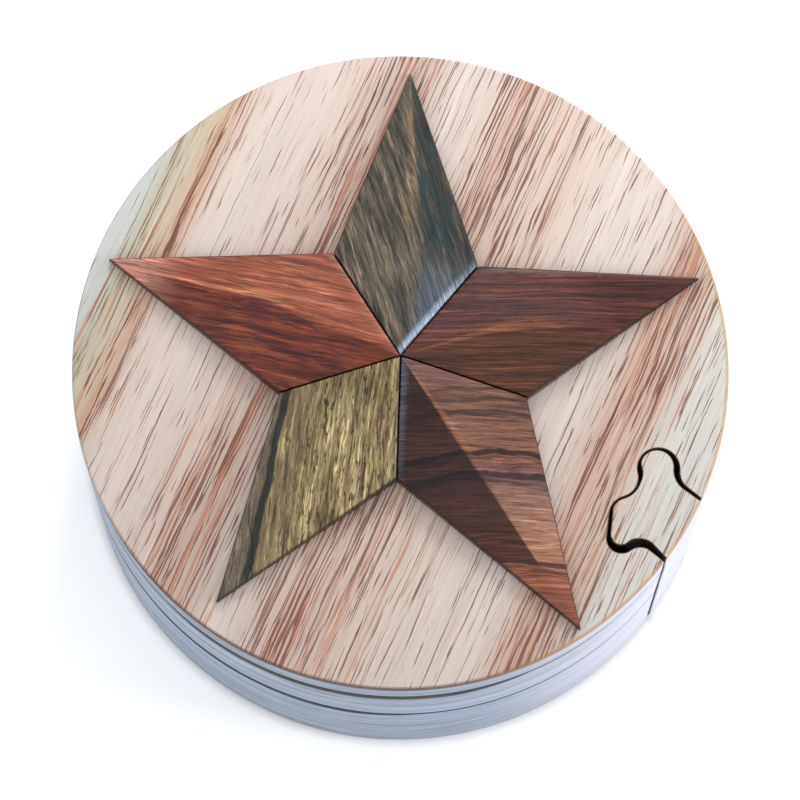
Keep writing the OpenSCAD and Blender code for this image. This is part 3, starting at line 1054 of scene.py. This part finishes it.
class Arm:
    """The shape of one arm: a ridge that wanders a little, and a facet on each side of it."""

    def __init__(self, node, path, seed, drops):
        middle, right, tip, left = arm_corners(node)
        self.drops = drops
        self.corners = [middle, right, tip, left]
        self.start = np.array(middle.xy)
        self.way = np.array((tip - middle).xy)
        self.length = np.linalg.norm(self.way)
        self.way /= self.length
        self.seed = seed
        self.sides = []
        for corner, sign in ((left, 1), (right, -1)):
            share, aside = self.placed(*corner.xy)
            widths = [0, sign * aside, 0]
            self.sides.append(([0, share, 1], widths, [middle.z, corner.z, tip.z]))
        self.top = (middle.z, tip.z)
        self.shares = np.linspace(0, 1, 201)
        wander = np.interp(self.shares, [p[0] for p in path], [p[1] * MM for p in path])
        reach = 13
        window = np.hanning(2 * reach + 1)
        wander = np.pad(wander, reach, mode="edge")
        self.path = np.convolve(wander, window / window.sum(), "valid")

    def placed(self, x, y):
        """Share of the way to the tip, and distance to the left of the straight line there."""
        dx = x - self.start[0]
        dy = y - self.start[1]
        share = (dx * self.way[0] + dy * self.way[1]) / self.length
        return share, dy * self.way[0] - dx * self.way[1]

    def gaps(self, x, y):
        """Distances inwards from the four edges, anticlockwise from the middle corner."""
        gaps = []
        for a, b in zip(self.corners, self.corners[1:] + self.corners[:1]):
            along = (b - a).xy.normalized()
            gaps.append(along.x * (y - a.y) - along.y * (x - a.x))
        return gaps

    def from_edge(self, x, y):
        """Distance inwards from the nearest edge."""
        return np.min(self.gaps(x, y), 0)

    def surface(self, x, y):
        """Height of the top, and which side of the ridge each point is on, from -1 to 1."""
        share, aside = self.placed(x, y)
        left, right = (np.interp(share, side[0], side[1]) for side in self.sides)
        left_z, right_z = (np.interp(share, side[0], side[2]) for side in self.sides)
        ridge = np.clip(np.interp(share, self.shares, self.path), -right, left)
        steep = 0.34
        ridge_z = np.min([
            np.interp(share, [0, 1], self.top), left_z + steep * (left - ridge),
            right_z + steep * (ridge + right),
        ], 0)
        never_zero = 0.05 * MM
        off = aside - ridge
        on_left = off / (left - ridge + never_zero)
        on_right = -off / (right + ridge + never_zero)
        one = ridge_z + (left_z - ridge_z) * on_left
        other = ridge_z + (right_z - ridge_z) * on_right
        soft = 0.16 * MM
        z = np.minimum(one, other) - soft * np.log1p(np.exp(-np.abs(one - other) / soft))
        return z, np.where(off > 0, np.clip(on_left, 0, 1), -np.clip(on_right, 0, 1))

    def height(self, x, y):
        """Height of the hand-sanded top: a little uneven, lower at the joints, round at its rim."""
        z = self.surface(x, y)[0]
        d = np.clip(self.from_edge(x, y), 0, None)
        uneven = 0.10 * MM
        size = 9 * MM
        z += uneven * np.array([
            noise.noise((px / size, py / size, self.seed)) for px, py in zip(x, y)
        ])
        for (depth, width), gap in zip(self.drops, self.gaps(x, y)):
            z -= depth * MM * np.clip(1 - gap / (width * MM), 0, 1) ** 2
        round_off = 0.3 * MM
        bend = np.clip(1 - d / round_off, 0, 1)
        return z - round_off * (1 - np.sqrt(1 - bend**2))

    def inner_points(self, line):
        """Points for the top: rows along the outline and the ridge, and a grid between."""
        rows = []
        for inset in (0.03, 0.08, 0.15, 0.24, 0.34, 0.5):
            row = line.ring(inset * MM, 0)[:, :2]
            rows.append(row[self.from_edge(*row.T) > 0.8 * inset * MM])
        step = 0.5 * MM
        half_width = 20 * MM
        clear_of_ridge = 1.05 * MM
        clear_of_rim = 0.62 * MM
        aside = np.array([-self.way[1], self.way[0]])
        grid = []
        for t in np.arange(0, self.length, step):
            ridge = np.interp(t / self.length, self.shares, self.path)
            near = [ridge + k * MM for k in (-0.7, -0.42, -0.2, 0, 0.2, 0.42, 0.7)]
            far = np.arange(-half_width, half_width, step)
            far = far[np.abs(far - ridge) > clear_of_ridge]
            grid.extend(self.start + self.way * t + aside * a for a in (*near, *far))
        grid = np.array(grid)
        rows.append(grid[self.from_edge(*grid.T) > clear_of_rim])
        return np.vstack(rows)


# Widths of the marks along an arm's outer edges, its joints and the joint where light catches it
OUTER_MARK = 0.45 * MM
JOINT_MARK = 0.22 * MM
LIT_JOINT_MARK = 2.2 * MM
# Depth and width in millimetres of the sanding along an arm's edges
SANDED = (0.2, 1.8)


def star_arm(side, slot, seed, path, joint, wood_settings):
    """One arm: the seed of its unevenness, its ridge's path as shares of its length with
    millimetres to the left, the sanding at its clockwise joint, and its wood."""
    node = "star_arm_" + side
    arm = Arm(node, path, seed, [joint, SANDED, SANDED, SANDED])
    line = Outline(eased(np.array([c.xy[:] for c in arm.corners]), 0.4 * MM, 0.35 * MM), 0, 0)
    solid = Solid()
    edge = line.ring(0, 0)
    edge[:, 2] = arm.height(edge[:, 0], edge[:, 1])
    foot = edge.copy()
    foot[:, 2] = LID_TOP
    rings = [solid.add(ring) for ring in (foot, (edge + foot) / 2, edge)]
    for first, second in zip(rings, rings[1:]):
        solid.band(first, second)
    solid.cap([rings[0]], False)
    before = len(solid.points)
    solid.cap([rings[-1]], True, arm.inner_points(line))
    x, y = np.array(solid.points[before:])[:, :2].T
    solid.points[before:] = list(zip(x, y, arm.height(x, y)))
    x, y, _ = np.array(solid.points).T
    gaps = arm.gaps(x, y)
    at_outer = 1 - np.minimum(gaps[1], gaps[2]) / OUTER_MARK
    at_joint = 1 - np.minimum(gaps[0], gaps[3]) / JOINT_MARK
    solid.marks["edge"] = np.clip(np.maximum(at_outer, at_joint), 0, 1)
    solid.marks["joint"] = np.clip(1 - gaps[0] / LIT_JOINT_MARK, 0, 1)
    solid.marks["along"] = arm.placed(x, y)[0]
    solid.marks["aside"] = arm.surface(x, y)[1]
    ride_for(solid.piece("star_" + side, star_wood(slot, *wood_settings)), node, slot)


def make_star():
    """The five arms. A wood is its grain's direction, its tones from dark to pale, the sizes of
    its figure and its fibres, its waviness, its contrast and its own figure."""
    star_arm(
        "top", "grey_brown_wood", 6,
        [(0, 0), (0.06, -1.2), (0.22, -2.0), (0.45, -2.1), (0.6, -1.8), (1, 0)], (0.5, 1.7),
        (108, ["#1f2422", "#443f39", "#655b4c", "#8a775f"],
         (11, 0.85, 4), (6, 0.3, 3), 0.6, (0.65, 1.35), top_figure),
    )
    star_arm(
        "right", "dark_red_wood", 5,
        [(0, 0), (0.33, 0.1), (0.45, -1.3), (0.7, -6.0), (1, -9)], SANDED,
        (4, ["#1d0b0a", "#42201c", "#5d2e23", "#7f4a34"],
         (34, 0.9, 5), (20, 0.35, 4), 0.9, (0.6, 1.4), right_figure),
    )
    star_arm(
        "lower_right", "purple_brown_wood", 3,
        [(0, 0), (0.5, 0.3), (1, 0)], (0.35, 1.5),
        (1, ["#3a2320", "#5b3b32", "#775241", "#936c53"],
         (22, 0.8, 5), (9, 0.35, 4), 1.0, (0.8, 1.2), lower_right_figure),
    )
    star_arm(
        "lower_left", "olive_wood", 4,
        [(0, 0), (0.5, 0.1), (0.7, 0.1), (1, 0)], SANDED,
        (85, ["#3f3527", "#746141", "#998a61", "#c0b288"],
         (11, 0.8, 4), (5, 0.3, 3), 0.7, (0.7, 1.3), lower_left_figure),
    )
    star_arm(
        "left", "orange_red_wood", 5,
        [(0, 0), (0.24, -1.2), (0.475, -1.9), (0.7, -0.6), (1, 0)], SANDED,
        (168, ["#52251f", "#7d3f2e", "#99513a", "#b57354"],
         (24, 1.3, 5), (10, 0.4, 4), 0.9, (0.82, 1.18), left_figure),
    )


# ---- Pivot ----

def lathe(name, profile, material, steps=96, ribs=None):
    """Turns a profile of radii and heights about the pivot. It ends on the axis or closes."""
    solid = Solid()
    turn = np.radians(np.arange(steps) * 360 / steps)
    rings = []
    for radius, z in profile:
        if radius == 0:
            rings.append(solid.add([(PIVOT.x, PIVOT.y, z)]))
            continue
        r = np.full(steps, radius, float)
        if ribs:
            r = ribs(r, turn, z)
        plan = (PIVOT.x + r * np.cos(turn), PIVOT.y + r * np.sin(turn))
        rings.append(solid.add(np.column_stack([*plan, np.full(steps, z)])))
    if len(rings[0]) > 1:
        rings.append(rings[0])
    for a, b in zip(rings, rings[1:]):
        if len(a) == len(b):
            solid.band(a, b)
            continue
        for i in range(steps):
            j = (i + 1) % steps
            solid.faces.append((a[0], b[j], b[i]) if len(a) == 1 else (a[i], a[j], b[0]))
    return solid.piece(name, material)


def make_pivot(birch, plug_wood, metal):
    """The plug, the fluted dowel, the washer and the screw, which has a real thread."""
    low, high = heights("pivot_plug")
    row = level_cut("pivot_plug", (low + high) / 2)[0]
    line = Outline(eased(row, 0.4 * MM, 0), 0.25 * MM, 0.15 * MM)
    gap_round_plug = 0.06 * MM
    line.points = line.points - line.normals * gap_round_plug
    ride_for(board("underside_plug", [line], low, high, plug_wood), "pivot_plug", "dowel_wood")

    low, high = heights("pivot_dowel")
    screw_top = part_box("pivot_screw")[1].z
    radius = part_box("pivot_dowel")[1].x - PIVOT.x
    hole = 1.7 * MM
    small = 0.3 * MM
    bevel = 0.6 * MM
    fluted = high - 4.5 * MM
    profile = [
        (0, screw_top), (hole, screw_top - 2 * MM), (hole, low), (radius - small, low),
        (radius, low + small), (radius, fluted - 0.5 * MM), (radius, fluted + 0.5 * MM),
        (radius, high - bevel), (radius - bevel, high), (0, high),
    ]

    def flutes(r, turn, z):
        return r - 0.12 * MM * (0.5 + 0.5 * np.cos(24 * turn)) * (z > fluted)

    dowel = lathe("dowel", profile, birch, 192, flutes)
    ride_for(dowel, "pivot_dowel", "dowel_wood")

    low, high = heights("pivot_washer")
    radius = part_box("pivot_washer")[1].x - PIVOT.x
    hole = 1.9 * MM
    r = 0.2 * MM
    profile = [
        (hole, high - r), (hole, low + r), (hole + r, low), (radius - r, low), (radius, low + r),
        (radius, high - r), (radius - r, high), (hole + r, high),
    ]
    ride_for(lathe("washer", profile, metal), "pivot_washer", "steel")

    low, high = heights("pivot_screw")
    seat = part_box("pivot_washer")[0].z
    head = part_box("pivot_screw")[1].x - PIVOT.x
    dome = seat - low - 0.4 * MM
    shank = 1.3 * MM
    profile = [(0, low)]
    for turn in np.radians(np.arange(15, 91, 15)):
        profile.append((head * math.sin(turn), low + dome * (1 - math.cos(turn))))
    profile += [(head, seat), (shank, seat)]
    tip = high - 3 * MM
    for z in np.arange(seat + 0.2 * MM, tip, 0.12 * MM):
        profile.append((shank, z))
    profile += [(shank * 0.55, high - 1.2 * MM), (0, high)]
    pitch = 1.4 * MM
    thread_depth = 0.4 * MM

    def thread(r, turn, z):
        if z < seat + 0.1 * MM or z > tip:
            return r
        phase = (z / pitch - turn / (2 * math.pi)) % 1
        ease = min(1, (z - seat) / (2 * MM), (tip - z) / (1.5 * MM))
        return r + thread_depth * ease * np.clip(1 - np.abs(phase - 0.5) / 0.22, 0, 1)

    ride_for(lathe("screw", profile, metal, 72, thread), "pivot_screw", "steel")


# ---- Room ----

FLOOR_HALF = 4.0
# Name, direction from the box, distance, size, power and colour of each soft light
LIGHTS = [
    ("window", (0.2, 0.85, 0.5), 2.0, 0.6, 14.0, (1.0, 0.97, 0.93)),
    ("left_fill", (-0.9, -0.35, 0.3), 1.6, 0.6, 2.0, (0.55, 0.78, 1.0)),
    ("right_fill", (0.97, -0.12, 0.17), 1.6, 0.5, 18.0, (1.0, 0.98, 1.0)),
]


def placed_in_scene(name, data):
    thing = bpy.data.objects.new(name, data)
    bpy.context.scene.collection.objects.link(thing)
    return thing


def area_light(name, towards, distance, size, power, colour):
    """A round light that shines at the middle of the box."""
    light = bpy.data.lights.new(name, "AREA")
    light.shape = "DISK"
    light.size = size
    light.energy = power
    light.color = colour
    lamp = placed_in_scene(name, light)
    target = Vector((0, 0, LID_TOP / 2))
    lamp.location = target + Vector(towards).normalized() * distance
    lamp.rotation_euler = (target - lamp.location).to_track_quat("-Z", "Y").to_euler()


def make_room():
    """The floor, the pale light all round and the soft lights."""
    mesh = bpy.data.meshes.new("floor")
    steps = 8
    ticks = np.linspace(-FLOOR_HALF, FLOOR_HALF, steps + 1)
    points = [(x, y, 0) for y in ticks for x in ticks]
    faces = []
    for j in range(steps):
        for i in range(steps):
            a = j * (steps + 1) + i
            faces.append((a, a + 1, a + steps + 2, a + steps + 1))
    mesh.from_pydata(points, [], faces)
    mesh.materials.append(paper("floor_paper"))
    floor = placed_in_scene("floor", mesh)

    world = bpy.data.worlds.new("soft_room")
    world.use_nodes = True
    sky = world.node_tree.nodes["Background"].inputs
    sky["Color"].default_value = (0.98, 0.99, 1.0, 1)
    sky["Strength"].default_value = 1.0
    bpy.context.scene.world = world
    for settings in LIGHTS:
        area_light(*settings)


def make_camera():
    """A camera high in front of the box that looks a little below the lid's middle."""
    elevation = math.radians(74.94)
    turn = math.radians(1.06)
    roll = math.radians(0.82)
    distance = 12 * RIM
    below = 5.84 * MM
    middle = Vector((0, 0, LID_TOP))
    level = math.cos(elevation)
    away = Vector((math.sin(turn) * level, -math.cos(turn) * level, math.sin(elevation)))
    across = Vector((math.cos(turn), math.sin(turn), 0))
    up = away.cross(across)
    camera = bpy.data.cameras.new("camera")
    camera.lens = 177.5
    camera.sensor_width = 36
    camera.clip_start = 0.01
    camera.clip_end = 20
    eye = placed_in_scene("camera", camera)
    place = middle + away * distance
    back = (place - (middle - up * below)).normalized()
    side = (Matrix.Rotation(roll, 3, back) @ across).normalized()
    turned = Matrix((side, back.cross(side), back)).transposed()
    eye.matrix_world = Matrix.Translation(place) @ turned.to_4x4()
    bpy.context.scene.camera = eye


make_camera()
make_room()
bpy.context.scene.view_settings.view_transform = "Standard"

wood = box_wood("box_wood")
make_box(wood)
make_key(wood)
make_linings(felt("blue_felt"))
make_star()
make_pivot(
    plain_wood("dowel_birch", 0, 90, ("#c9a676", "#e2c79c"), (12, 0.5, 0.5)),
    plain_wood("plug_birch", 20, 0, ("#c9a676", "#dfc49a"), (10, 0.6, 2)),
    steel("zinc_steel"),
)
